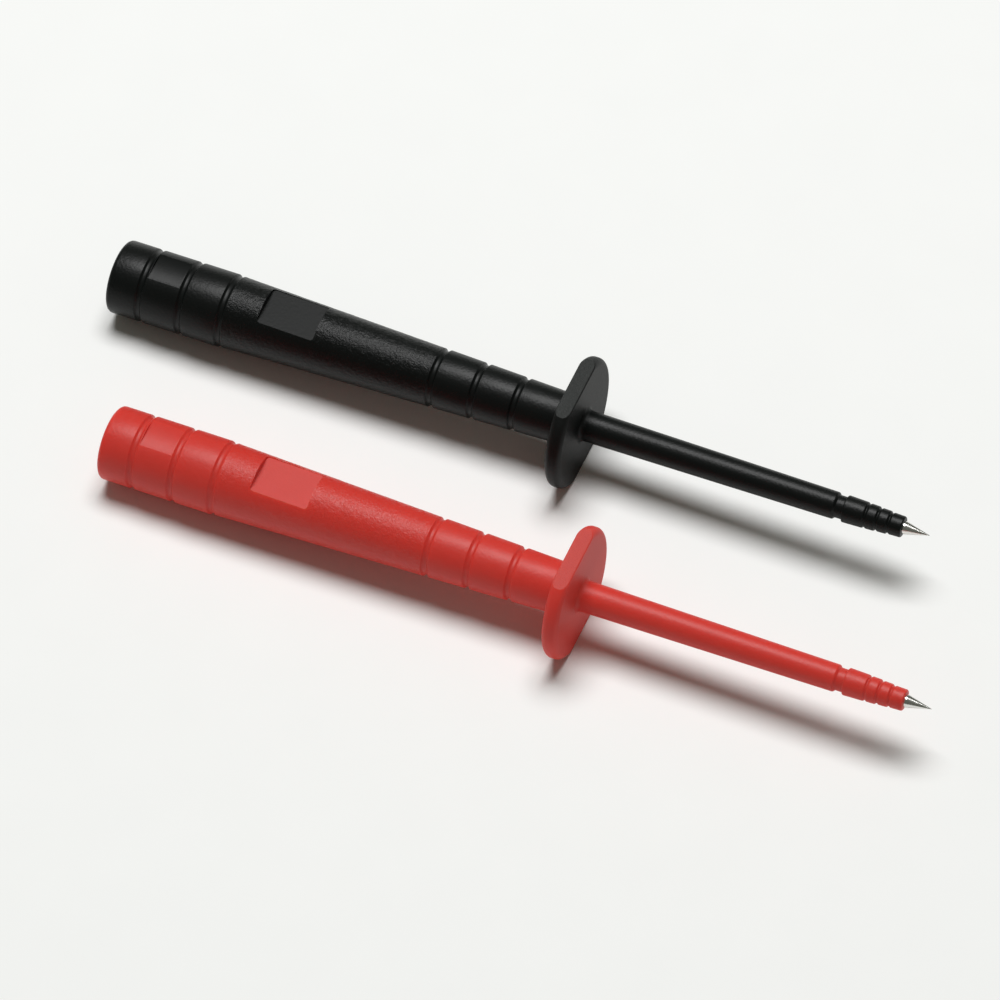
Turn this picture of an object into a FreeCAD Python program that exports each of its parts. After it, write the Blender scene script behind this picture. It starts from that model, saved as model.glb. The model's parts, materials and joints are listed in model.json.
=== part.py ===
import FreeCAD, Part
import math
import os
from FreeCAD import Placement, Rotation, Vector

# A pair of rigid insulated test probes, lying on a table as two loose pieces. Each probe is drawn
# along its own X axis, from the rear face of the grip at X = 0 to the needle point, with the flats
# of the finger guard facing up and down. probe_placement then lays it on the table.
# All sizes are millimetres, D is a diameter.

# Lengths along the probe, from the rear
GRIP_LENGTH = 110.6
HUB_LENGTH = 1.5
GUARD_THICKNESS = 3.8
SHAFT_LENGTH = 61.4
NECK_LENGTH = 2.3
NEEDLE_BARE_LENGTH = 0.55
NEEDLE_POINT_LENGTH = 5.7

# Grip, outside
GRIP_REAR_D = 17.4
GRIP_MIDDLE_D = 17.15
GRIP_FRONT_D = 12.0
GRIP_REAR_ROUND = 1.0
GRIP_FRONT_ROUND = 0.18
GROOVE_COUNT = 3
GROOVE_PITCH = 10.0
GROOVE_FIRST_X = 8.1
GROOVE_LAST_INSET = 10.45
GROOVE_WIDTH = 1.7
GROOVE_FLOOR_WIDTH = 0.85
GROOVE_DEPTH = 0.5
GROOVE_EDGE_ROUND = 0.15
GROOVE_FLOOR_ROUND = 0.5

# The two sunk panels on top of the grip: the plate fills the second band, the window is farther on
PLATE_DEPTH = 0.8
WINDOW_GAP = 8.0
WINDOW_LENGTH = 14.0
WINDOW_WIDTH = 10.2
WINDOW_DEPTH = 2.0
WINDOW_CORNER_ROUND = 0.7

# Grip, inside
MOUTH_D = 12.0
MOUTH_DEPTH = 26.0
MOUTH_ROUND = 0.6
CORE_D = 8.2

# Finger guard and shaft
GUARD_D = 31.1
GUARD_FLAT_TO_FLAT = 25.6
GUARD_RIM_ROUND = 1.6
GUARD_RIM_SHARE = 0.45
GUARD_FLAT_EDGE_ROUND = 0.4
GUARD_FILLET = 1.0
SPIGOT_LENGTH = 14.0
SHAFT_ROOT_D = 7.3
SHAFT_TIP_D = 6.32
SHOULDER_ROUND = 0.4
SHOULDER_SLOPE = 0.5
NECK_D = 5.3
NECK_FILLET = 0.3
CAP_SEAT_D = 4.2
CAP_SEAT_LENGTH = 6.5

# Nose cap: four rings, each starting at its own diameter and tapering a little
RING_LENGTHS = (4.9, 2.0, 2.0, 2.85)
RING_START_DS = (6.37, 5.9, 5.52, 5.12)
RING_TAPER = 0.03
RING_GAP = 0.8
RING_GAP_FLOOR = 0.3
RING_GAP_DEPTH = 0.25
RING_EDGE_ROUND = 0.4
CAP_REAR_ROUND = 0.3
CAP_NOSE_ROUND = 0.45
CAP_END_GAP = 0.3

# Needle
NEEDLE_D = 3.0
NEEDLE_POINT_D = 0.1
NEEDLE_TAIL_CHAMFER = 0.3

# Contact socket for the lead's plug, with the needle screwed into its front end
SOCKET_BORE_D = 4.0
SOCKET_BORE_DEPTH = 19.0
SOCKET_ENTRY_CHAMFER = 0.4
BARREL_D = 6.4
BARREL_LENGTH = 21.5
STEM_D = 5.0
STEM_LENGTH = 18.5
THREAD_ENGAGEMENT = 12.0

# Insulating post round the contact
POST_D = 8.0
POST_RECESS = 3.0
CONTACT_RECESS = 1.0
POST_MOUTH_ROUND = 0.3
FLANGE_THICKNESS = 2.0
INSULATOR_SPIGOT_LENGTH = 10.0

# Small parts inside
SPRING_WASHER_THICKNESS = 0.8
SPRING_WASHER_CUT = 0.6
FLAT_WASHER_THICKNESS = 0.5
RING_THICKNESS = 1.0
RING_SEAT_DEPTH = 0.45
RING_BAND = 1.4
RING_OPENING = 3.0
BUSH_LENGTH = 6.0
BUSH_CHAMFER = 0.5
EDGE_BREAK = 0.2
CUT_MARGIN = 1.0
TOUCHING = 0.001
ROUNDING_SHARE = 0.49

# Clearances
FIXED_GAP = 0.02
SLIDING_GAP = 0.05
RING_SEAT_PLAY = 0.05
WASHER_PLAY = 0.05

# How the two probes lie
PROBE_SPACING = 43.7
RED_AHEAD = 17.8
PROBES = ("black", "red")

# Stations along the probe that follow from the lengths
HUB_X = GRIP_LENGTH
GUARD_REAR_X = HUB_X + HUB_LENGTH
GUARD_FRONT_X = GUARD_REAR_X + GUARD_THICKNESS
SHOULDER_X = GUARD_FRONT_X + SHAFT_LENGTH
CAP_REAR_X = SHOULDER_X + NECK_LENGTH
CAP_LENGTH = sum(RING_LENGTHS) + RING_GAP * (len(RING_LENGTHS) - 1)
CAP_FRONT_X = CAP_REAR_X + CAP_LENGTH
NEEDLE_CONE_X = CAP_FRONT_X + NEEDLE_BARE_LENGTH
TIP_X = NEEDLE_CONE_X + NEEDLE_POINT_LENGTH
CAP_SEAT_X = CAP_REAR_X + CAP_SEAT_LENGTH
SPIGOT_X = HUB_X - SPIGOT_LENGTH
REAR_GROOVES = [GROOVE_FIRST_X + GROOVE_PITCH * i for i in range(GROOVE_COUNT)]
FRONT_GROOVES = [GRIP_LENGTH - GROOVE_LAST_INSET - GROOVE_PITCH * i for i in reversed(range(GROOVE_COUNT))]
TAPER_X = REAR_GROOVES[-1]
WINDOW_X = REAR_GROOVES[-1] + GROOVE_WIDTH / 2 + WINDOW_GAP
CONTACT_X = POST_RECESS + CONTACT_RECESS
BARREL_END_X = CONTACT_X + BARREL_LENGTH
WASHER_SEAT_X = BARREL_END_X + SPRING_WASHER_THICKNESS + FLAT_WASHER_THICKNESS
STEM_END_X = BARREL_END_X + STEM_LENGTH
FLANGE_X = MOUTH_DEPTH - FLANGE_THICKNESS


def grip_radius(x):
    """Outer radius of the grip at x: straight over the rear bands, then a steady taper."""
    if x <= TAPER_X:
        return GRIP_REAR_D / 2
    share = (x - TAPER_X) / (GRIP_LENGTH - TAPER_X)
    return (GRIP_MIDDLE_D - (GRIP_MIDDLE_D - GRIP_FRONT_D) * share) / 2


def rounded_outline(corners):
    """Closed wire through (x, radius, rounding) corners below the axis, rounded by tangent arcs."""
    points = [Vector(x, 0, -radius) for x, radius, _ in corners]
    count = len(points)
    starts, ends, middles = [], [], []
    for i, (_, _, rounding) in enumerate(corners):
        here = points[i]
        back = points[i - 1] - here
        ahead = points[(i + 1) % count] - here
        half_turn = back.getAngle(ahead) / 2
        cut = 0.0
        if rounding > 0:
            room = ROUNDING_SHARE * min(back.Length, ahead.Length)
            cut = min(rounding / math.tan(half_turn), room)
        radius = cut * math.tan(half_turn)
        back.normalize()
        ahead.normalize()
        starts.append(here + back * cut)
        ends.append(here + ahead * cut)
        inward = back + ahead
        if cut > 0:
            inward.normalize()
            middles.append(here + inward * (radius / math.sin(half_turn) - radius))
        else:
            middles.append(None)
    edges = []
    for i in range(count):
        if middles[i] is not None:
            edges.append(Part.Arc(starts[i], middles[i], ends[i]).toShape())
        following = starts[(i + 1) % count]
        if (following - ends[i]).Length > TOUCHING:
            edges.append(Part.LineSegment(ends[i], following).toShape())
    return Part.Wire(edges)


def turned(corners):
    """Solid of revolution about the probe's axis from (x, radius, rounding) corners."""
    face = Part.Face(rounded_outline(corners))
    return face.revolve(Vector(0, 0, 0), Vector(1, 0, 0), 360)


def tube(x_from, x_to, outer_radius, inner_radius, chamfer=0.0):
    """Plain round tube, with its outer edges cut at 45 degrees where a chamfer is given."""
    corners = [(x_from, inner_radius, 0)]
    if chamfer > 0:
        corners += [(x_from, outer_radius - chamfer, 0), (x_from + chamfer, outer_radius, 0)]
        corners += [(x_to - chamfer, outer_radius, 0), (x_to, outer_radius - chamfer, 0)]
    else:
        corners += [(x_from, outer_radius, 0), (x_to, outer_radius, 0)]
    corners.append((x_to, inner_radius, 0))
    return turned(corners)


def groove_corners(left, right, floor, floor_width, edge_round, floor_round):
    """Corners of a groove with sloped walls, from (x, radius) at its left edge to its right edge."""
    middle = (left[0] + right[0]) / 2
    return [
        (left[0], left[1], edge_round),
        (middle - floor_width / 2, floor, floor_round),
        (middle + floor_width / 2, floor, floor_round),
        (right[0], right[1], edge_round),
    ]


def slab_above(x_from, x_to, width, thickness, height, corner_round):
    """Cutter that takes away what lies above height, over the given length and width."""
    cutter = Part.makeBox(x_to - x_from, width, thickness, Vector(x_from, -width / 2, height))
    if corner_round > 0:
        upright = [edge for edge in cutter.Edges if edge.BoundBox.ZLength > TOUCHING]
        cutter = cutter.makeFillet(corner_round, upright)
    return cutter


def make_grip():
    """Hollow handle: bands and grooves outside, plug mouth, ring seat and core bore inside."""
    corners = [(0, MOUTH_D / 2, MOUTH_ROUND), (0, GRIP_REAR_D / 2, GRIP_REAR_ROUND)]
    for x in REAR_GROOVES + FRONT_GROOVES:
        left, right = x - GROOVE_WIDTH / 2, x + GROOVE_WIDTH / 2
        corners += groove_corners(
            (left, grip_radius(left)), (right, grip_radius(right)), grip_radius(x) - GROOVE_DEPTH,
            GROOVE_FLOOR_WIDTH, GROOVE_EDGE_ROUND, GROOVE_FLOOR_ROUND,
        )
    seat_from = FLANGE_X - RING_THICKNESS - RING_SEAT_PLAY
    seat_to = FLANGE_X + RING_SEAT_PLAY
    corners += [
        (GRIP_LENGTH, grip_radius(GRIP_LENGTH), GRIP_FRONT_ROUND),
        (GRIP_LENGTH, CORE_D / 2, 0),
        (MOUTH_DEPTH, CORE_D / 2, 0),
        (MOUTH_DEPTH, MOUTH_D / 2, 0),
        (seat_to, MOUTH_D / 2, 0),
        (seat_to, MOUTH_D / 2 + RING_SEAT_DEPTH, 0),
        (seat_from, MOUTH_D / 2 + RING_SEAT_DEPTH, 0),
        (seat_from, MOUTH_D / 2, 0),
    ]
    return turned(corners).cut(plate_cutter()).cut(window_cutter())


def plate_cutter():
    """The small plate: a flat across the whole second band, from groove to groove."""
    x_from = REAR_GROOVES[0] + GROOVE_WIDTH / 2 + GROOVE_EDGE_ROUND
    x_to = REAR_GROOVES[1] - GROOVE_WIDTH / 2 - GROOVE_EDGE_ROUND
    height = grip_radius(x_from) - PLATE_DEPTH
    return slab_above(x_from, x_to, GRIP_REAR_D, GRIP_REAR_D, height, 0)


def window_cutter():
    """The window: a sunk rectangle whose floor runs parallel to the tapered surface."""
    height = grip_radius(WINDOW_X)
    x_to = WINDOW_X + WINDOW_LENGTH
    slope = math.degrees(math.atan2(height - grip_radius(x_to), WINDOW_LENGTH))
    floor = height - WINDOW_DEPTH
    cutter = slab_above(WINDOW_X, x_to, WINDOW_WIDTH, GRIP_REAR_D, floor, WINDOW_CORNER_ROUND)
    cutter.rotate(Vector(WINDOW_X, 0, height), Vector(0, 1, 0), slope)
    return cutter


def make_guard_shaft():
    """Guard, hub and shaft in one moulding, with a spigot for the grip and a seat for the cap."""
    bore = NEEDLE_D / 2 + FIXED_GAP
    hub = grip_radius(GRIP_LENGTH)
    spigot = CORE_D / 2 - FIXED_GAP
    rim = min(GUARD_RIM_ROUND, GUARD_RIM_SHARE * GUARD_THICKNESS)
    return with_flats(turned([
        (SPIGOT_X, bore, 0),
        (SPIGOT_X, spigot, EDGE_BREAK),
        (HUB_X, spigot, 0),
        (HUB_X, hub, GRIP_FRONT_ROUND),
        (GUARD_REAR_X, hub, GUARD_FILLET),
        (GUARD_REAR_X, GUARD_D / 2, rim),
        (GUARD_FRONT_X, GUARD_D / 2, rim),
        (GUARD_FRONT_X, SHAFT_ROOT_D / 2, GUARD_FILLET),
        (SHOULDER_X, SHAFT_TIP_D / 2, SHOULDER_ROUND),
        (SHOULDER_X + SHOULDER_SLOPE, NECK_D / 2, NECK_FILLET),
        (CAP_REAR_X, NECK_D / 2, 0),
        (CAP_REAR_X, CAP_SEAT_D / 2, 0),
        (CAP_SEAT_X, CAP_SEAT_D / 2, EDGE_BREAK),
        (CAP_SEAT_X, bore, 0),
    ]))


def with_flats(moulding):
    """The moulding with the guard's two flats cut, above and below, and their edges rounded."""
    flat = GUARD_FLAT_TO_FLAT / 2
    for turn in (0, 180):
        cutter = slab_above(
            GUARD_REAR_X - CUT_MARGIN, GUARD_FRONT_X + CUT_MARGIN, GUARD_D, GUARD_D, flat, 0
        )
        cutter.rotate(Vector(0, 0, 0), Vector(1, 0, 0), turn)
        moulding = moulding.cut(cutter)
    sharp = [edge for edge in moulding.Edges if abs(abs(edge.CenterOfMass.z) - flat) < TOUCHING]
    return moulding.makeFillet(GUARD_FLAT_EDGE_ROUND, sharp)


def make_nose_cap():
    """Cap with gripping rings that slides on the shaft's seat and over the needle."""
    corners = [(CAP_REAR_X, RING_START_DS[0] / 2, CAP_REAR_ROUND)]
    x = CAP_REAR_X
    for length, start_d, next_d in zip(RING_LENGTHS, RING_START_DS, RING_START_DS[1:]):
        ring_end = (x + length, start_d / 2 - RING_TAPER * length)
        next_start = (x + length + RING_GAP, next_d / 2)
        corners += groove_corners(
            ring_end, next_start, next_d / 2 - RING_GAP_DEPTH,
            RING_GAP_FLOOR, RING_EDGE_ROUND, RING_EDGE_ROUND,
        )
        x = next_start[0]
    nose = RING_START_DS[-1] / 2 - RING_TAPER * RING_LENGTHS[-1]
    seat_bore = CAP_SEAT_D / 2 + SLIDING_GAP
    needle_bore = NEEDLE_D / 2 + SLIDING_GAP
    corners += [
        (CAP_FRONT_X, nose, CAP_NOSE_ROUND),
        (CAP_FRONT_X, needle_bore, 0),
        (CAP_SEAT_X + CAP_END_GAP, needle_bore, 0),
        (CAP_SEAT_X + CAP_END_GAP, seat_bore, 0),
        (CAP_REAR_X, seat_bore, 0),
    ]
    return turned(corners)


def make_needle():
    """Steel rod from the contact's tapped end to a conical point."""
    tail_x = STEM_END_X - THREAD_ENGAGEMENT
    radius = NEEDLE_D / 2
    return turned([
        (tail_x, 0, 0),
        (tail_x, radius - NEEDLE_TAIL_CHAMFER, 0),
        (tail_x + NEEDLE_TAIL_CHAMFER, radius, 0),
        (NEEDLE_CONE_X, radius, 0),
        (TIP_X, NEEDLE_POINT_D / 2, 0),
        (TIP_X, 0, 0),
    ])


def make_contact_socket():
    """Brass body: plug socket in the rear, shoulder on the washers, tapped stem in front."""
    socket = SOCKET_BORE_D / 2
    thread = NEEDLE_D / 2 + FIXED_GAP
    floor_x = CONTACT_X + SOCKET_BORE_DEPTH
    thread_x = STEM_END_X - THREAD_ENGAGEMENT
    return turned([
        (CONTACT_X, socket + SOCKET_ENTRY_CHAMFER, 0),
        (CONTACT_X, BARREL_D / 2, EDGE_BREAK),
        (BARREL_END_X, BARREL_D / 2, EDGE_BREAK / 2),
        (BARREL_END_X, STEM_D / 2, 0),
        (STEM_END_X, STEM_D / 2, EDGE_BREAK),
        (STEM_END_X, thread, 0),
        (thread_x, thread, 0),
        (thread_x, 0, 0),
        (floor_x, 0, 0),
        (floor_x, socket, 0),
        (CONTACT_X + SOCKET_ENTRY_CHAMFER, socket, 0),
    ])


def make_socket_insulator():
    """Insulating post in the plug mouth, with a flange on the grip's step and a front spigot."""
    front_x = MOUTH_DEPTH + INSULATOR_SPIGOT_LENGTH
    barrel_bore = BARREL_D / 2 + FIXED_GAP
    stem_bore = STEM_D / 2 + FIXED_GAP
    return turned([
        (POST_RECESS, barrel_bore, POST_MOUTH_ROUND),
        (POST_RECESS, POST_D / 2, POST_MOUTH_ROUND),
        (FLANGE_X, POST_D / 2, 0),
        (FLANGE_X, MOUTH_D / 2 - FIXED_GAP, 0),
        (MOUTH_DEPTH, MOUTH_D / 2 - FIXED_GAP, 0),
        (MOUTH_DEPTH, CORE_D / 2 - FIXED_GAP, 0),
        (front_x, CORE_D / 2 - FIXED_GAP, EDGE_BREAK),
        (front_x, stem_bore, 0),
        (WASHER_SEAT_X, stem_bore, 0),
        (WASHER_SEAT_X, barrel_bore, 0),
    ])


def make_retaining_ring():
    """Internal spring ring, open at the bottom, in the grip's seat against the flange."""
    outer = MOUTH_D / 2 + RING_SEAT_DEPTH - FIXED_GAP
    ring = tube(FLANGE_X - RING_THICKNESS, FLANGE_X, outer, outer - RING_BAND)
    rear_x = FLANGE_X - RING_THICKNESS
    opening = Part.makeBox(
        RING_THICKNESS + 2 * CUT_MARGIN, RING_OPENING, MOUTH_D,
        Vector(rear_x - CUT_MARGIN, -RING_OPENING / 2, -MOUTH_D),
    )
    return ring.cut(opening)


def washer(x_from, x_to):
    """Round washer on the contact's stem, inside the insulator's rear bore."""
    return tube(x_from, x_to, BARREL_D / 2 - WASHER_PLAY, STEM_D / 2 + WASHER_PLAY)


def make_spring_washer():
    """Split spring washer under the contact's shoulder, drawn flat as it is when tightened."""
    end_x = BARREL_END_X + SPRING_WASHER_THICKNESS
    split = Part.makeBox(
        SPRING_WASHER_THICKNESS + 2 * CUT_MARGIN, SPRING_WASHER_CUT, BARREL_D,
        Vector(BARREL_END_X - CUT_MARGIN, -SPRING_WASHER_CUT / 2, 0),
    )
    return washer(BARREL_END_X, end_x).cut(split)


def make_flat_washer():
    """Flat washer between the spring washer and the insulator's step."""
    return washer(BARREL_END_X + SPRING_WASHER_THICKNESS, WASHER_SEAT_X)


def make_centring_bush():
    """Bush halfway along the free stretch of needle inside the grip."""
    middle = (STEM_END_X + SPIGOT_X) / 2
    return tube(
        middle - BUSH_LENGTH / 2, middle + BUSH_LENGTH / 2,
        CORE_D / 2 - FIXED_GAP, NEEDLE_D / 2 + FIXED_GAP, BUSH_CHAMFER,
    )


def resting_pitch():
    """Angle in radians by which the tip rises when the rear rim and the guard touch the table."""
    run = (GUARD_REAR_X + GUARD_FLAT_EDGE_ROUND) - GRIP_REAR_ROUND
    rise = -(GUARD_FLAT_TO_FLAT / 2 - GUARD_FLAT_EDGE_ROUND) + (GRIP_REAR_D / 2 - GRIP_REAR_ROUND)
    growth = GUARD_FLAT_EDGE_ROUND - GRIP_REAR_ROUND
    return math.asin(growth / math.hypot(run, rise)) - math.atan2(rise, run)


def probe_placement(index):
    """Placement that lays probe 0 (black, far side) or 1 (red, near side) on the table."""
    pitch = resting_pitch()
    rim = GRIP_REAR_D / 2 - GRIP_REAR_ROUND
    lift = GRIP_REAR_ROUND * (1 - math.sin(pitch)) + rim * math.cos(pitch)
    rear_reach = GRIP_REAR_ROUND * (1 - math.cos(pitch)) + rim * math.sin(pitch)
    front_reach = TIP_X * math.cos(pitch) + NEEDLE_POINT_D / 2 * math.sin(pitch)
    middle = (front_reach + RED_AHEAD - rear_reach) / 2
    place = Vector(RED_AHEAD * index - middle, PROBE_SPACING * (0.5 - index), lift)
    return Placement(place, Rotation(Vector(0, 1, 0), -math.degrees(pitch)))


PIECES = {
    "grip": make_grip,
    "guard_shaft": make_guard_shaft,
    "nose_cap": make_nose_cap,
    "needle": make_needle,
    "contact_socket": make_contact_socket,
    "socket_insulator": make_socket_insulator,
    "retaining_ring": make_retaining_ring,
    "spring_washer": make_spring_washer,
    "flat_washer": make_flat_washer,
    "centring_bush": make_centring_bush,
}

os.makedirs("parts", exist_ok=True)
for piece_name, make_piece in PIECES.items():
    piece = make_piece()
    if len(piece.Solids) != 1 or not piece.isValid():
        raise ValueError(piece_name + " is not one valid solid")
    for index, colour in enumerate(PROBES):
        placed = piece.Solids[0].copy()
        placed.Placement = probe_placement(index)
        placed.exportStep("parts/" + colour + "_" + piece_name + ".step")

pitch = resting_pitch()
print("length", round(TIP_X, 3), "pitch", round(math.degrees(pitch), 4))
print("axis to the tip", round(math.cos(pitch), 6), 0.0, round(math.sin(pitch), 6))
for index, colour in enumerate(PROBES):
    for label, x in (("socket mouth", CONTACT_X + SOCKET_ENTRY_CHAMFER), ("needle point", TIP_X)):
        spot = probe_placement(index).multVec(Vector(x, 0, 0))
        print(colour, label, [round(value, 4) for value in spot])
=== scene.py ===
import json
import logging
import math
from dataclasses import dataclass, field
from enum import Enum

import bmesh
import bpy
from mathutils import Matrix, Vector, noise


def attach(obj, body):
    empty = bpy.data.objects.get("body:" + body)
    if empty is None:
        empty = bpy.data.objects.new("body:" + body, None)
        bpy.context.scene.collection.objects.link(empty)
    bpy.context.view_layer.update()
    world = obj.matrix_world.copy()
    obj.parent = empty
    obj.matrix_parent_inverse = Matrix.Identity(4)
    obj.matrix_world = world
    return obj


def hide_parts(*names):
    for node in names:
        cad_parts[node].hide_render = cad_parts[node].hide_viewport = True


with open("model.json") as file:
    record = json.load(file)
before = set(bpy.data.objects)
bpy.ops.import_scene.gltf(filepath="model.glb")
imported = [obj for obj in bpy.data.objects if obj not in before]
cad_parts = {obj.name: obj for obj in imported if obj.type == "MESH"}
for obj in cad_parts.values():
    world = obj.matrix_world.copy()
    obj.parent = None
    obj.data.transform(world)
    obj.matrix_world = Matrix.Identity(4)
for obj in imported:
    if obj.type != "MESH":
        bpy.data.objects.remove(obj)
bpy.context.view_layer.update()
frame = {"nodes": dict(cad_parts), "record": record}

# A pair of insulated test probes lying on a pale table: moulded plastic grips, guards and caps,
# steel needles, and the contact parts inside. Sizes are metres unless a name says otherwise.

log = logging.getLogger("probes")
MILLIMETRE = 0.001
Tint = tuple[float, float, float, float]

# How far the stipple's pattern is moved from one probe to the next, so that the two differ
STIPPLE_SHIFT = 0.37

# The Mix node repeats its socket names for each kind of value, so its sockets are taken by number
MIX_SHARE = 0
MIX_NUMBERS = (2, 3)
MIX_COLOURS = (6, 7)
MIX_NUMBER_RESULT = 0
MIX_COLOUR_RESULT = 2


class Colour(Enum):
    """The two probes of the pair, by the colour of their plastic."""

    BLACK = "black"
    RED = "red"


def value_node(nodes: bpy.types.Nodes, kind: str, **settings: object) -> bpy.types.Node:
    """Adds a shader node and sets its properties.

    Args:
        nodes: the material's nodes.
        kind: the node's type name.
        settings: the properties to set, by name.

    Returns:
        The new node.
    """
    node = nodes.new(kind)
    for name, value in settings.items():
        setattr(node, name, value)
    return node


@dataclass(frozen=True)
class Grain:
    """A noise pattern: cells per metre, octaves, and how strong the finer octaves are."""

    scale: float
    detail: float = 3.0
    rough: float = 0.55


class Sheet:
    """A material's node tree, with short calls for the few kinds of node that it needs."""

    def __init__(self, name: str) -> None:
        """Starts an empty material.

        Args:
            name: the material's name.
        """
        self.material = bpy.data.materials.new(name)
        self.material.use_nodes = True
        self.tree = self.material.node_tree
        self.tree.nodes.clear()
        self.output = self.tree.nodes.new("ShaderNodeOutputMaterial")

    def link(self, source: bpy.types.NodeSocket, target: bpy.types.NodeSocket) -> None:
        """Joins two sockets."""
        self.tree.links.new(source, target)

    def feed(self, socket: bpy.types.NodeSocket, value: object) -> None:
        """Links the value where it is a socket, and otherwise sets it on the socket.

        Args:
            socket: the input that takes it.
            value: a number, a colour or another socket.
        """
        if isinstance(value, bpy.types.NodeSocket):
            self.link(value, socket)
        else:
            socket.default_value = value

    def math(self, operation: str, first: object, second: object = 0.0) -> bpy.types.NodeSocket:
        """Adds a Math node.

        Args:
            operation: the node's operation.
            first: its first value or socket.
            second: its second value or socket.

        Returns:
            The result's socket.
        """
        node = value_node(self.tree.nodes, "ShaderNodeMath", operation=operation)
        self.feed(node.inputs[0], first)
        self.feed(node.inputs[1], second)
        return node.outputs[0]

    def step(self, value: object, edge: float, width: float) -> bpy.types.NodeSocket:
        """Adds a soft step from 0 to 1 as the value passes an edge.

        Args:
            value: the socket that is compared.
            edge: where the step is halfway.
            width: how far it takes from 0 to 1.

        Returns:
            The step's socket.
        """
        node = value_node(self.tree.nodes, "ShaderNodeMapRange", interpolation_type="SMOOTHSTEP")
        self.feed(node.inputs["Value"], value)
        node.inputs["From Min"].default_value = edge - width / 2
        node.inputs["From Max"].default_value = edge + width / 2
        return node.outputs["Result"]

    def band(self, value: object, low: float, high: float, width: float) -> bpy.types.NodeSocket:
        """Adds a soft band that is 1 between two edges and 0 outside them.

        Args:
            value: the socket that is compared.
            low: the band's lower edge.
            high: the band's upper edge.
            width: the softness of each edge.

        Returns:
            The band's socket.
        """
        rising = self.step(value, low, width)
        falling = self.step(value, high, width)
        return self.math("SUBTRACT", rising, falling)

    def noise(self, vector: object, grain: Grain) -> bpy.types.NodeSocket:
        """Adds a noise texture.

        Args:
            vector: the coordinates' socket.
            grain: the pattern.

        Returns:
            The factor's socket.
        """
        node = value_node(self.tree.nodes, "ShaderNodeTexNoise")
        self.feed(node.inputs["Vector"], vector)
        node.inputs["Scale"].default_value = grain.scale
        node.inputs["Detail"].default_value = grain.detail
        node.inputs["Roughness"].default_value = grain.rough
        return node.outputs["Fac"]

    def mix(self, share: object, first: object, second: object) -> bpy.types.NodeSocket:
        """Mixes two colours by a share.

        Args:
            share: 0 for the first colour, 1 for the second.
            first: a colour or socket.
            second: a colour or socket.

        Returns:
            The mixed colour's socket.
        """
        node = value_node(self.tree.nodes, "ShaderNodeMix", data_type="RGBA")
        self.feed(node.inputs[MIX_SHARE], share)
        self.feed(node.inputs[MIX_COLOURS[0]], first)
        self.feed(node.inputs[MIX_COLOURS[1]], second)
        return node.outputs[MIX_COLOUR_RESULT]

    def blend(self, share: object, first: object, second: object) -> bpy.types.NodeSocket:
        """Mixes two numbers by a share.

        Args:
            share: 0 for the first number, 1 for the second.
            first: a number or socket.
            second: a number or socket.

        Returns:
            The mixed number's socket.
        """
        node = value_node(self.tree.nodes, "ShaderNodeMix", data_type="FLOAT")
        self.feed(node.inputs[MIX_SHARE], share)
        self.feed(node.inputs[MIX_NUMBERS[0]], first)
        self.feed(node.inputs[MIX_NUMBERS[1]], second)
        return node.outputs[MIX_NUMBER_RESULT]

    def bump(self, height: object, distance: float, normal: object = None) -> bpy.types.NodeSocket:
        """Adds a Bump node.

        Args:
            height: the height's socket, from 0 to 1.
            distance: the depth of a height of 1.
            normal: the normal of a bump below this one.

        Returns:
            The bumped normal's socket.
        """
        node = value_node(self.tree.nodes, "ShaderNodeBump")
        self.feed(node.inputs["Height"], height)
        node.inputs["Distance"].default_value = distance
        if normal is not None:
            self.link(normal, node.inputs["Normal"])
        return node.outputs["Normal"]

    def surface(self, **values: object) -> bpy.types.Material:
        """Ends the tree in a Principled shader.

        Args:
            values: socket values by name, with an underscore for each space.

        Returns:
            The finished material.
        """
        shader = self.tree.nodes.new("ShaderNodeBsdfPrincipled")
        for name, value in values.items():
            self.feed(shader.inputs[name.replace("_", " ")], value)
        self.link(shader.outputs[0], self.output.inputs["Surface"])
        return self.material


@dataclass(frozen=True)
class ProbeSpace:
    """A probe's own frame: X runs from the rear face to the needle point, Z up off the flats."""

    origin: Vector
    axis: Vector

    @property
    def pitch(self) -> float:
        """The angle by which the needle's end is lifted off the table."""
        return math.asin(self.axis.z)

    def coordinates(self, sheet: Sheet) -> bpy.types.NodeSocket:
        """Object coordinates, moved and turned to the probe's own frame.

        Args:
            sheet: the material that reads them.

        Returns:
            The vector's socket.
        """
        source = sheet.tree.nodes.new("ShaderNodeTexCoord")
        mapping = value_node(sheet.tree.nodes, "ShaderNodeMapping", vector_type="TEXTURE")
        mapping.inputs["Location"].default_value = self.origin
        mapping.inputs["Rotation"].default_value = (0.0, -self.pitch, 0.0)
        sheet.link(source.outputs["Object"], mapping.inputs["Vector"])
        return mapping.outputs["Vector"]


def mesh_object(name: str, shape: bmesh.types.BMesh) -> bpy.types.Object:
    """Makes an object from a bmesh, which is freed.

    Args:
        name: the object's name.
        shape: the bmesh.

    Returns:
        The new object, linked to the scene.
    """
    mesh = bpy.data.meshes.new(name)
    shape.to_mesh(mesh)
    shape.free()
    body = bpy.data.objects.new(name, mesh)
    bpy.context.scene.collection.objects.link(body)
    return body


def carve(body: bpy.types.Object, cutters: list[bmesh.types.BMesh]) -> None:
    """Cuts shapes out of a closed piece, for good.

    Args:
        body: the piece.
        cutters: the shapes to take away, which are freed.
    """
    tools = [mesh_object("cutter", cutter) for cutter in cutters]
    for tool in tools:
        difference = body.modifiers.new("carve", "BOOLEAN")
        difference.operation = "DIFFERENCE"
        difference.solver = "MANIFOLD"
        difference.object = tool
    carved = bpy.data.meshes.new_from_object(
        body.evaluated_get(bpy.context.evaluated_depsgraph_get()))
    body.modifiers.clear()
    body.data = carved
    for tool in tools:
        bpy.data.meshes.remove(tool.data)


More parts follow.
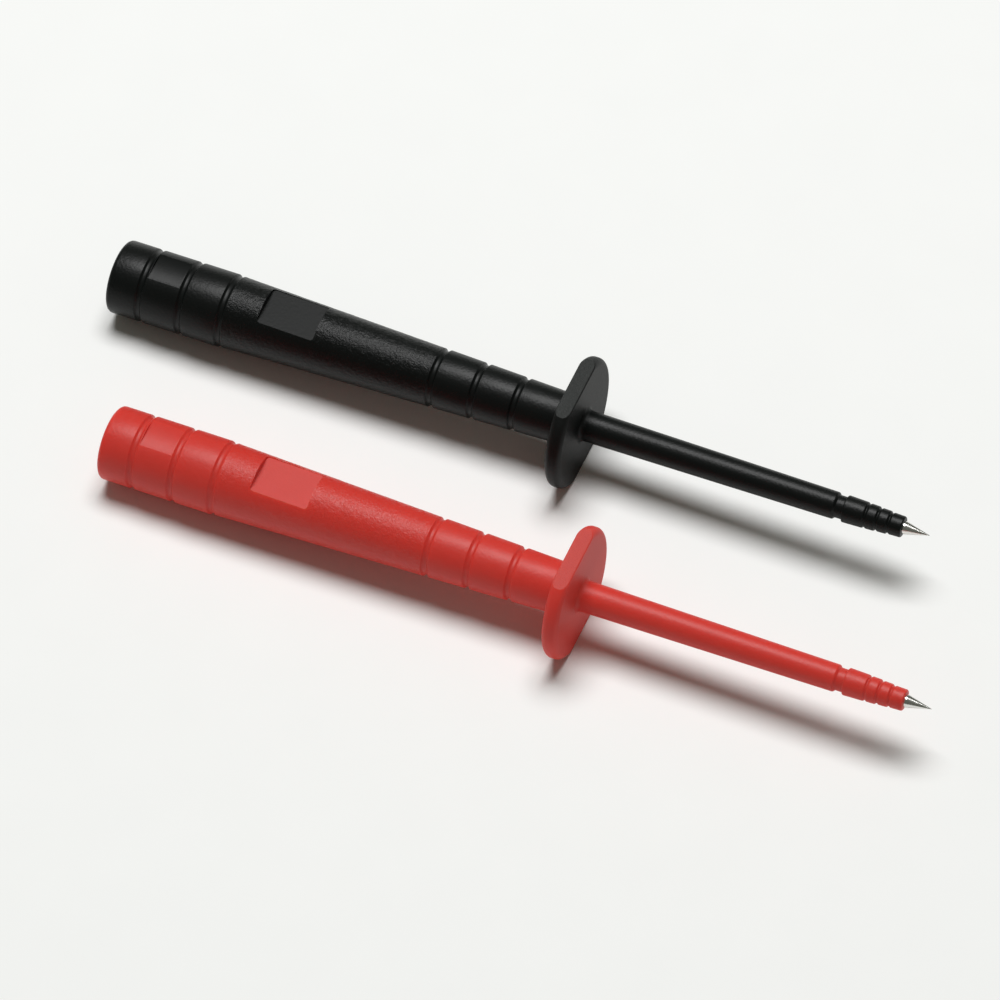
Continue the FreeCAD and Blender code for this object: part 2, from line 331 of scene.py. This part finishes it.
@dataclass(frozen=True)
class Corner:
    """A corner of a turned profile: its place along the probe, its radius and its rounding."""

    along: float
    radius: float
    rounding: float = 0.0


@dataclass(frozen=True)
class Relief:
    """The moulded stipple as real relief, pressed inwards from the skin."""

    depth: float = 0.07 * MILLIMETRE
    clump: float = 1.0 * MILLIMETRE
    grain: float = 0.45 * MILLIMETRE
    grain_share: float = 0.62
    mean: float = 0.5
    fade: float = 0.5 * MILLIMETRE

    def at(self, place: Vector, seed: float) -> float:
        """How far the skin is pressed in at a place.

        Args:
            place: the place in the probe's own frame.
            seed: moves the pattern, so that the two probes differ.

        Returns:
            The depth there, from 0 to the full depth.
        """
        shifted = place + Vector((seed, seed, seed))
        clumps = noise.noise(shifted / self.clump)
        grains = noise.noise(shifted / self.grain)
        height = clumps * (1.0 - self.grain_share) + grains * self.grain_share
        return self.depth * min(max(self.mean - height, 0.0), 1.0)


@dataclass(frozen=True)
class GripShell:
    """The hollow handle: bands, grooves, plug mouth, sunk plate and window, and its stipple."""

    length: float = 110.6 * MILLIMETRE
    rear_radius: float = 8.7 * MILLIMETRE
    middle_radius: float = 8.575 * MILLIMETRE
    front_radius: float = 6.0 * MILLIMETRE
    rear_round: float = 1.0 * MILLIMETRE
    front_round: float = 0.18 * MILLIMETRE
    groove_count: int = 3
    groove_pitch: float = 10.0 * MILLIMETRE
    groove_first: float = 8.1 * MILLIMETRE
    groove_last_inset: float = 10.45 * MILLIMETRE
    groove_width: float = 1.7 * MILLIMETRE
    groove_floor: float = 0.85 * MILLIMETRE
    groove_depth: float = 0.5 * MILLIMETRE
    groove_edge_round: float = 0.15 * MILLIMETRE
    groove_floor_round: float = 0.5 * MILLIMETRE
    mouth_radius: float = 6.0 * MILLIMETRE
    mouth_depth: float = 26.0 * MILLIMETRE
    mouth_round: float = 0.6 * MILLIMETRE
    core_radius: float = 4.1 * MILLIMETRE
    seat_from: float = 22.95 * MILLIMETRE
    seat_to: float = 24.05 * MILLIMETRE
    seat_depth: float = 0.45 * MILLIMETRE
    plate_depth: float = 0.8 * MILLIMETRE
    window_gap: float = 8.0 * MILLIMETRE
    window_length: float = 14.0 * MILLIMETRE
    window_width: float = 10.2 * MILLIMETRE
    window_depth: float = 2.0 * MILLIMETRE
    window_round: float = 0.7 * MILLIMETRE
    stipple_from: float = 29.0 * MILLIMETRE
    stipple_to: float = 79.3 * MILLIMETRE
    turn_steps: int = 240
    arc_steps: int = 4
    rounding_room: float = 0.49
    stipple_ring: float = 0.22 * MILLIMETRE
    sharp_angle: float = math.radians(32.0)
    skin_slack: float = 0.004 * MILLIMETRE
    relief: Relief = Relief()

    @property
    def rear_grooves(self) -> list[float]:
        """The middles of the grooves behind the stipple."""
        return [self.groove_first + self.groove_pitch * i for i in range(self.groove_count)]

    @property
    def front_grooves(self) -> list[float]:
        """The middles of the grooves in front of the stipple."""
        last = self.length - self.groove_last_inset
        return [last - self.groove_pitch * i for i in reversed(range(self.groove_count))]

    @property
    def taper_from(self) -> float:
        """Where the straight rear ends and the taper starts."""
        return self.rear_grooves[-1]

    def radius(self, along: float) -> float:
        """The skin's radius.

        Args:
            along: the distance from the rear face.

        Returns:
            The radius there.
        """
        if along <= self.taper_from:
            return self.rear_radius
        share = (along - self.taper_from) / (self.length - self.taper_from)
        return self.middle_radius + (self.front_radius - self.middle_radius) * share

    def corners(self) -> list[Corner]:
        """Lays out the closed profile.

        Returns:
            Its corners, from the mouth's rim round the outside and back through the bores.
        """
        profile = [Corner(0.0, self.mouth_radius, self.mouth_round),
                   Corner(0.0, self.rear_radius, self.rear_round)]
        for middle in self.rear_grooves + self.front_grooves:
            left, right = middle - self.groove_width / 2, middle + self.groove_width / 2
            floor = self.radius(middle) - self.groove_depth
            profile += [Corner(left, self.radius(left), self.groove_edge_round),
                        Corner(middle - self.groove_floor / 2, floor, self.groove_floor_round),
                        Corner(middle + self.groove_floor / 2, floor, self.groove_floor_round),
                        Corner(right, self.radius(right), self.groove_edge_round)]
        profile += [Corner(self.length, self.radius(self.length), self.front_round),
                    Corner(self.length, self.core_radius),
                    Corner(self.mouth_depth, self.core_radius),
                    Corner(self.mouth_depth, self.mouth_radius),
                    Corner(self.seat_to, self.mouth_radius),
                    Corner(self.seat_to, self.mouth_radius + self.seat_depth),
                    Corner(self.seat_from, self.mouth_radius + self.seat_depth),
                    Corner(self.seat_from, self.mouth_radius)]
        return profile

    def outline(self, shape: bmesh.types.BMesh) -> None:
        """Draws the closed profile below the axis, with its corners rounded.

        Args:
            shape: the empty bmesh that takes it.
        """
        profile = self.corners()
        points = [shape.verts.new((corner.along, 0.0, -corner.radius)) for corner in profile]
        for start, end in zip(points, points[1:] + points[:1]):
            shape.edges.new((start, end))
        setbacks = []
        for i, corner in enumerate(profile):
            back = points[i - 1].co - points[i].co
            ahead = points[(i + 1) % len(points)].co - points[i].co
            room = self.rounding_room * min(back.length, ahead.length)
            setbacks.append(min(corner.rounding / math.tan(back.angle(ahead) / 2), room))
        for point, setback in zip(points, setbacks):
            if setback > 0:
                bmesh.ops.bevel(shape, geom=[point], offset=setback, offset_type="OFFSET",
                                profile=0.5, segments=self.arc_steps, affect="VERTICES",
                                material=-1)
        self.divide_stipple(shape)

    def divide_stipple(self, shape: bmesh.types.BMesh) -> None:
        """Divides the outside line of the stippled stretch into short steps.

        Args:
            shape: the profile.
        """
        middle = (self.stipple_from + self.stipple_to) / 2
        for edge in list(shape.edges):
            low, high = sorted(vert.co.x for vert in edge.verts)
            outside = max(vert.co.z for vert in edge.verts) < -self.front_radius
            if low < middle < high and outside:
                steps = round((high - low) / self.stipple_ring)
                bmesh.ops.subdivide_edges(shape, edges=[edge], cuts=steps)

    def cutter(self, low: Vector, high: Vector, rounding: float) -> bmesh.types.BMesh:
        """A box between two corners, with its upright edges rounded.

        Args:
            low: the lowest corner.
            high: the highest corner.
            rounding: the radius of the upright edges.

        Returns:
            The box.
        """
        box = bmesh.new()
        place = Matrix.Translation((low + high) / 2) @ Matrix.Diagonal(high - low).to_4x4()
        bmesh.ops.create_cube(box, size=1.0, matrix=place)
        if rounding > 0:
            upright = [edge for edge in box.edges
                       if abs(edge.verts[0].co.z - edge.verts[1].co.z) > rounding]
            bmesh.ops.bevel(box, geom=upright, offset=rounding, offset_type="OFFSET", profile=0.5,
                            segments=self.arc_steps, affect="EDGES", material=-1)
        return box

    def plate_cutter(self) -> bmesh.types.BMesh:
        """The box that takes the flat plate off the second band, from groove to groove."""
        first, second = self.rear_grooves[:2]
        inset = self.groove_width / 2 + self.groove_edge_round
        floor = self.rear_radius - self.plate_depth
        return self.cutter(Vector((first + inset, -self.rear_radius, floor)),
                           Vector((second - inset, self.rear_radius, self.rear_radius * 2)), 0.0)

    def window_cutter(self) -> bmesh.types.BMesh:
        """The box that sinks the window, its floor parallel to the tapered skin above it."""
        start = self.taper_from + self.groove_width / 2 + self.window_gap
        top = self.radius(start)
        fall = top - self.radius(start + self.window_length)
        half = self.window_width / 2
        box = self.cutter(Vector((start, -half, top - self.window_depth)),
                          Vector((start + self.window_length, half, top * 2)), self.window_round)
        slope = Matrix.Rotation(math.atan2(fall, self.window_length), 3, "Y")
        bmesh.ops.rotate(box, cent=(start, 0.0, top), matrix=slope, verts=box.verts[:])
        return box

    def press_stipple(self, shape: bmesh.types.BMesh, seed: float) -> None:
        """Presses the stipple into the skin of the middle stretch.

        Args:
            shape: the shell in the probe's own frame.
            seed: moves the pattern.
        """
        for vert in shape.verts:
            along = vert.co.x
            reach = math.hypot(vert.co.y, vert.co.z)
            if not self.stipple_from < along < self.stipple_to:
                continue
            if abs(reach - self.radius(along)) > self.skin_slack:
                continue
            inset = min(along - self.stipple_from, self.stipple_to - along)
            share = min(inset / self.relief.fade, 1.0)
            pressed = (reach - share * self.relief.at(vert.co, seed)) / reach
            vert.co.y *= pressed
            vert.co.z *= pressed

    def make(self, name: str, space: ProbeSpace, seed: float) -> bpy.types.Object:
        """Builds the shell and lays it in its place.

        Args:
            name: the object's name.
            space: the probe's own frame.
            seed: moves the stipple's pattern.

        Returns:
            The finished object.
        """
        shape = bmesh.new()
        self.outline(shape)
        bmesh.ops.spin(shape, geom=shape.verts[:] + shape.edges[:], cent=(0.0, 0.0, 0.0),
                       axis=(1.0, 0.0, 0.0), angle=math.tau, steps=self.turn_steps, use_merge=True)
        bmesh.ops.recalc_face_normals(shape, faces=shape.faces[:])
        body = mesh_object(name, shape)
        carve(body, [self.plate_cutter(), self.window_cutter()])
        shape = bmesh.new()
        shape.from_mesh(body.data)
        self.press_stipple(shape, seed)
        turn = Matrix.Rotation(-space.pitch, 4, "Y")
        bmesh.ops.transform(shape, matrix=Matrix.Translation(space.origin) @ turn, verts=shape.verts[:])
        shape.to_mesh(body.data)
        shape.free()
        for face in body.data.polygons:
            face.use_smooth = True
        body.data.set_sharp_from_angle(angle=self.sharp_angle)
        return body


@dataclass(frozen=True)
class MouldedPlastic:
    """Satin moulded plastic, with a stippled stretch on the grip and rough flats on the guard, whose
    lighter colour is a painted sheen.

    Its painted glow is a weak emission that lifts the shaded sides, standing for the light scattered
    inside a thick wall.
    """

    name: str
    base: Tint
    shade: Tint
    rough: float
    stipple_rough: float
    guard_rough: float
    flat_rough: float
    # painted sheen: the lighter colour of the guard's flats stands in for their rough reflection of the
    # light
    flat_painted_sheen: Tint
    specular: float
    glow: float
    glow_spread: tuple[float, float, float]
    # painted glow: a weak light given off by the plastic itself, which brightens its shaded sides
    painted_glow_tint: Tint
    painted_glow_strength: float
    rough_spread: float = 0.04
    stipple: Grain = Grain(3000.0, rough=0.6)
    stipple_depth: float = 0.11 * MILLIMETRE
    peel: Grain = Grain(1600.0)
    peel_depth: float = 0.06 * MILLIMETRE
    clouds: Grain = Grain(180.0)
    flat_grain: float = 2.2
    sunk_peel: float = 0.35
    edge_fade: float = 0.5 * MILLIMETRE
    skin: float = 0.12 * MILLIMETRE
    guard_from: float = 111.0 * MILLIMETRE
    guard_to: float = 117.0 * MILLIMETRE
    guard_flat: float = 12.74 * MILLIMETRE
    grip: GripShell = GripShell()

    def skin_depth(self, sheet: Sheet, split: bpy.types.Node) -> bpy.types.NodeSocket:
        """Works out how far a place lies under the grip's outer skin.

        Args:
            sheet: the material's node tree.
            split: the node that gives the place along, across and above the probe's axis.

        Returns:
            The depth's socket.
        """
        along, across, up = split.outputs
        reach = sheet.math("SQRT", sheet.math("ADD", sheet.math("MULTIPLY", across, across),
                                              sheet.math("MULTIPLY", up, up)))
        stretch = self.grip.length - self.grip.taper_from
        fall = (self.grip.middle_radius - self.grip.front_radius) / stretch
        past = sheet.math("SUBTRACT", along, self.grip.taper_from)
        taper = sheet.math("SUBTRACT", self.grip.middle_radius, sheet.math("MULTIPLY", past, fall))
        outside = sheet.math("MINIMUM", taper, self.grip.rear_radius)
        return sheet.math("SUBTRACT", outside, reach)

    def build(self, space: ProbeSpace) -> bpy.types.Material:
        """Makes the material for one probe.

        Args:
            space: the probe's own frame.

        Returns:
            The material.
        """
        sheet = Sheet(self.name)
        place = space.coordinates(sheet)
        split = sheet.tree.nodes.new("ShaderNodeSeparateXYZ")
        sheet.link(place, split.inputs[0])
        along, up = split.outputs["X"], split.outputs["Z"]
        on_skin = sheet.math("LESS_THAN", self.skin_depth(sheet, split), self.skin)
        middle = sheet.band(along, self.grip.stipple_from, self.grip.stipple_to, self.edge_fade)
        stippled = sheet.math("MULTIPLY", middle, on_skin)
        on_guard = sheet.band(along, self.guard_from, self.guard_to, self.edge_fade)
        past_flat = sheet.math("GREATER_THAN", sheet.math("ABSOLUTE", up), self.guard_flat)
        flats = sheet.math("MULTIPLY", on_guard, past_flat)
        textured = sheet.math("MAXIMUM", stippled, sheet.math("MULTIPLY", flats, self.flat_grain))

        in_front = sheet.math("GREATER_THAN", along, self.grip.length)
        unsunk = sheet.blend(sheet.math("MAXIMUM", on_skin, in_front), self.sunk_peel, 1.0)
        peel = sheet.math("MULTIPLY", sheet.noise(place, self.peel), unsunk)
        stipple = sheet.math("MULTIPLY", sheet.noise(place, self.stipple), textured)
        normal = sheet.bump(stipple, self.stipple_depth, sheet.bump(peel, self.peel_depth))

        clouds = sheet.noise(place, self.clouds)
        # The guard's flats take a lighter colour, a painted sheen that stands in for their rough
        # reflection of the light.
        colour = sheet.mix(flats, sheet.mix(clouds, self.base, self.shade), self.flat_painted_sheen)
        worn = sheet.blend(clouds, self.rough - self.rough_spread, self.rough + self.rough_spread)
        rough = sheet.blend(stippled, worn, self.stipple_rough)
        rough = sheet.blend(on_guard, rough, self.guard_rough)
        rough = sheet.blend(flats, rough, self.flat_rough)
        # The emission is painted glow: the plastic gives off a weak light of its own that lifts its
        # shaded sides.
        return sheet.surface(Base_Color=colour, Roughness=rough, Normal=normal,
                             Specular_IOR_Level=self.specular, Subsurface_Weight=self.glow,
                             Subsurface_Radius=self.glow_spread, Subsurface_Scale=MILLIMETRE,
                             Emission_Color=self.painted_glow_tint, Emission_Strength=self.painted_glow_strength)


@dataclass(frozen=True)
class TurnedMetal:
    """Turned or ground metal, with fine rings round the probe's axis."""

    name: str
    base: Tint
    rough: float
    rough_share: tuple[float, float] = (0.75, 1.3)
    rings: Grain = Grain(9000.0, 2.0, 0.5)
    ring_squash: tuple[float, float, float] = (1.0, 0.04, 0.04)
    ring_depth: float = 0.004 * MILLIMETRE
    clouds: Grain = Grain(260.0, rough=0.6)

    def build(self, space: ProbeSpace, prefix: str) -> bpy.types.Material:
        """Makes the material for one probe.

        Args:
            space: the probe's own frame.
            prefix: the probe's colour, which starts the material's name.

        Returns:
            The material.
        """
        sheet = Sheet(prefix + "_" + self.name)
        place = space.coordinates(sheet)
        squash = value_node(sheet.tree.nodes, "ShaderNodeMapping")
        squash.inputs["Scale"].default_value = self.ring_squash
        sheet.link(place, squash.inputs["Vector"])
        rings = sheet.noise(squash.outputs["Vector"], self.rings)
        smoothest, roughest = (self.rough * share for share in self.rough_share)
        rough = sheet.blend(sheet.noise(place, self.clouds), smoothest, roughest)
        return sheet.surface(Base_Color=self.base, Metallic=1.0, Roughness=rough,
                             Normal=sheet.bump(rings, self.ring_depth))


@dataclass(frozen=True)
class PlainPlastic:
    """Smooth moulded plastic of the parts inside."""

    name: str
    base: Tint
    shade: Tint
    rough: float
    glow: float = 0.0
    clouds: Grain = Grain(240.0)
    peel: Grain = Grain(1500.0, 2.0, 0.5)
    peel_depth: float = 0.01 * MILLIMETRE

    def build(self, space: ProbeSpace, prefix: str) -> bpy.types.Material:
        """Makes the material for one probe.

        Args:
            space: the probe's own frame.
            prefix: the probe's colour, which starts the material's name.

        Returns:
            The material.
        """
        sheet = Sheet(prefix + "_" + self.name)
        place = space.coordinates(sheet)
        colour = sheet.mix(sheet.noise(place, self.clouds), self.base, self.shade)
        return sheet.surface(Base_Color=colour, Roughness=self.rough,
                             Subsurface_Weight=self.glow, Subsurface_Scale=MILLIMETRE,
                             Normal=sheet.bump(sheet.noise(place, self.peel), self.peel_depth))


BLACK_PLASTIC = MouldedPlastic(
    name="black_plastic",
    base=(0.0040, 0.0050, 0.0047, 1.0),
    shade=(0.0030, 0.0038, 0.0036, 1.0),
    rough=0.38,
    stipple_rough=0.29,
    guard_rough=0.52,
    flat_rough=0.42,
    flat_painted_sheen=(0.029, 0.031, 0.030, 1.0),
    specular=0.19,
    glow=0.0,
    glow_spread=(1.0, 1.0, 1.0),
    painted_glow_tint=(1.0, 1.0, 1.0, 1.0),
    painted_glow_strength=0.0,
)
RED_PLASTIC = MouldedPlastic(
    name="red_plastic",
    base=(0.52, 0.0345, 0.0245, 1.0),
    shade=(0.495, 0.0315, 0.0225, 1.0),
    rough=0.42,
    stipple_rough=0.31,
    guard_rough=0.52,
    flat_rough=0.42,
    flat_painted_sheen=(0.49, 0.064, 0.054, 1.0),
    specular=0.26,
    glow=0.6,
    glow_spread=(6.0, 1.5, 1.0),
    # painted glow: the red plastic gives off a weak red light that brightens its shaded sides
    painted_glow_tint=(1.0, 0.10, 0.08, 1.0),
    painted_glow_strength=0.075,
)
PLASTICS = {Colour.BLACK: BLACK_PLASTIC, Colour.RED: RED_PLASTIC}
NEEDLE_STEEL = TurnedMetal("needle_steel", base=(0.78, 0.77, 0.74, 1.0), rough=0.21)
NICKEL_PLATE = TurnedMetal("nickel_plate", base=(0.70, 0.66, 0.57, 1.0), rough=0.24)
SPRING_STEEL = TurnedMetal("spring_steel", base=(0.30, 0.30, 0.31, 1.0), rough=0.34)
POST_PLASTIC = PlainPlastic("post_plastic", base=(0.016, 0.016, 0.018, 1.0),
                            shade=(0.012, 0.012, 0.013, 1.0), rough=0.3)
NYLON = PlainPlastic("nylon", base=(0.74, 0.71, 0.62, 1.0), shade=(0.68, 0.65, 0.56, 1.0),
                     rough=0.42, glow=0.3)
INSIDE_FINISHES = {
    "needle": NEEDLE_STEEL,
    "contact_socket": NICKEL_PLATE,
    "socket_insulator": POST_PLASTIC,
    "retaining_ring": SPRING_STEEL,
    "spring_washer": SPRING_STEEL,
    "flat_washer": SPRING_STEEL,
    "centring_bush": NYLON,
}


@dataclass
class Probe:
    """One probe of ten pieces: nine dressed as the CAD has them, and the grip made anew."""

    colour: Colour
    socket_depth: float = 4.4 * MILLIMETRE
    seed: float = 0.0
    space: ProbeSpace = field(init=False)

    def __post_init__(self) -> None:
        """Finds the probe's own frame from its lead socket's mount."""
        mounts = {mount["name"]: mount for mount in frame["record"]["mounts"]}
        socket = mounts[self.colour.value + "_lead_socket"]
        axis = -Vector(socket["axis"]).normalized()
        origin = Vector(socket["pos_m"]) - axis * self.socket_depth
        self.space = ProbeSpace(origin=origin, axis=axis)

    def node(self, piece: str) -> bpy.types.Object:
        """The CAD object of one of the probe's pieces."""
        return frame["nodes"][self.colour.value + "_" + piece]

    def dress(self, piece: str, material: bpy.types.Material) -> None:
        """Gives a piece its material.

        Args:
            piece: the piece's name without the probe's colour.
            material: the material to give it.
        """
        body = self.node(piece)
        body.data.materials.clear()
        body.data.materials.append(material)
        log.info("%s_%s: %s", self.colour.value, piece, material.name)

    def build(self) -> None:
        """Dresses the CAD pieces and makes the grip's shell."""
        moulded = PLASTICS[self.colour].build(self.space)
        for piece in ("guard_shaft", "nose_cap"):
            self.dress(piece, moulded)
        self.shell(moulded)
        prefix = self.colour.value
        finished = {}
        for piece, finish in INSIDE_FINISHES.items():
            if finish.name not in finished:
                finished[finish.name] = finish.build(self.space, prefix)
            self.dress(piece, finished[finish.name])

    def shell(self, moulded: bpy.types.Material) -> None:
        """Makes the stippled grip, which stands for the plain one.

        Args:
            moulded: the probe's moulded plastic.
        """
        prefix = self.colour.value
        shell = GripShell().make(prefix + "_grip_shell", self.space, self.seed)
        shell.data.materials.clear()
        shell.data.materials.append(moulded)
        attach(shell, prefix + "_probe")
        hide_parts(prefix + "_grip")
        log.info("%s: %d faces", shell.name, len(shell.data.polygons))


@dataclass
class Studio:
    """The pale table, the soft lights and the camera at the photograph's viewing angle."""

    azimuth: float = math.radians(23.15)
    elevation: float = math.radians(54.37)
    distance: float = 2.143
    focal_px: float = 9448.0
    image_px: float = 1000.0
    origin_px: tuple[float, float] = (517.8, 519.9)
    far_limit: float = 20.0
    floor_size: float = 6.0
    floor_tint: Tint = (0.865, 0.871, 0.863, 1.0)
    floor_light_tint: Tint = (0.885, 0.891, 0.883, 1.0)
    floor_mottle: Grain = Grain(60.0, rough=0.5)
    floor_rough: float = 0.8
    room_tint: Tint = (0.99, 1.02, 0.88, 1.0)
    room_light: float = 0.118
    backdrop_light: float = 0.85
    softbox_height: float = 2.4
    softbox_lean: tuple[float, float] = (-0.13, 0.25)
    softbox_spread: tuple[float, float] = (0.7, 0.5)
    softbox_power: float = 63.5

    def build(self) -> None:
        """Makes the table, the light and the camera."""
        self.floor()
        self.world()
        self.softbox()
        self.camera()
        bpy.context.scene.view_settings.view_transform = "Standard"

    def floor(self) -> None:
        """Makes the table top that the probes lie on."""
        mesh = bpy.data.meshes.new("table_top")
        shape = bmesh.new()
        bmesh.ops.create_grid(shape, x_segments=1, y_segments=1, size=self.floor_size / 2)
        shape.to_mesh(mesh)
        shape.free()
        table = bpy.data.objects.new("table_top", mesh)
        bpy.context.scene.collection.objects.link(table)
        sheet = Sheet("table_paper")
        source = sheet.tree.nodes.new("ShaderNodeTexCoord")
        mottle = sheet.noise(source.outputs["Object"], self.floor_mottle)
        colour = sheet.mix(mottle, self.floor_tint, self.floor_light_tint)
        mesh.materials.append(sheet.surface(Base_Color=colour, Roughness=self.floor_rough))

    def world(self) -> None:
        """Makes the dim studio round the table, which the camera itself sees as a pale backdrop."""
        world = bpy.data.worlds.new("studio")
        world.use_nodes = True
        nodes, links = world.node_tree.nodes, world.node_tree.links
        seen = nodes.new("ShaderNodeLightPath").outputs["Is Camera Ray"]
        strength = value_node(nodes, "ShaderNodeMapRange")
        links.new(seen, strength.inputs["Value"])
        strength.inputs["To Min"].default_value = self.room_light
        strength.inputs["To Max"].default_value = self.backdrop_light
        background = nodes["Background"]
        background.inputs["Color"].default_value = self.room_tint
        links.new(strength.outputs["Result"], background.inputs["Strength"])
        bpy.context.scene.world = world

    def softbox(self) -> None:
        """Adds the one large soft light, nearly overhead and a little behind the probes."""
        lamp = bpy.data.lights.new("softbox", "AREA")
        lamp.shape = "ELLIPSE"
        lamp.size = self.softbox_spread[0] * self.softbox_height
        lamp.size_y = self.softbox_spread[1] * self.softbox_height
        lamp.energy = self.softbox_power
        light = bpy.data.objects.new("softbox", lamp)
        place = Vector((self.softbox_lean[0], self.softbox_lean[1], 1.0)) * self.softbox_height
        turn = (-place).to_track_quat("-Z", "Y").to_matrix().to_4x4()
        light.matrix_world = Matrix.Translation(place) @ turn
        bpy.context.scene.collection.objects.link(light)

    def camera(self) -> None:
        """Makes the camera, aimed so that the scene's origin falls on its place in the picture."""
        azimuth, elevation = self.azimuth, self.elevation
        back = Vector((math.sin(azimuth) * math.cos(elevation),
                       -math.cos(azimuth) * math.cos(elevation),
                       math.sin(elevation)))
        right = Vector((math.cos(azimuth), math.sin(azimuth), 0.0))
        above = back.cross(right)
        scale = self.focal_px / self.distance
        middle = self.image_px / 2
        target = right * ((middle - self.origin_px[0]) / scale)
        target += above * ((self.origin_px[1] - middle) / scale)
        lens = bpy.data.cameras.new("camera")
        lens.lens = self.focal_px * lens.sensor_width / self.image_px
        lens.clip_end = self.far_limit
        camera = bpy.data.objects.new("camera", lens)
        turn = Matrix((right, above, back)).transposed().to_4x4()
        camera.matrix_world = Matrix.Translation(target + back * self.distance) @ turn
        bpy.context.scene.collection.objects.link(camera)
        bpy.context.scene.camera = camera


def main() -> None:
    """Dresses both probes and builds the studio."""
    logging.basicConfig(level=logging.INFO, format="%(name)s: %(message)s")
    Studio().build()
    for number, colour in enumerate(Colour):
        Probe(colour, seed=number * STIPPLE_SHIFT).build()


if __name__ == "__main__":
    main()
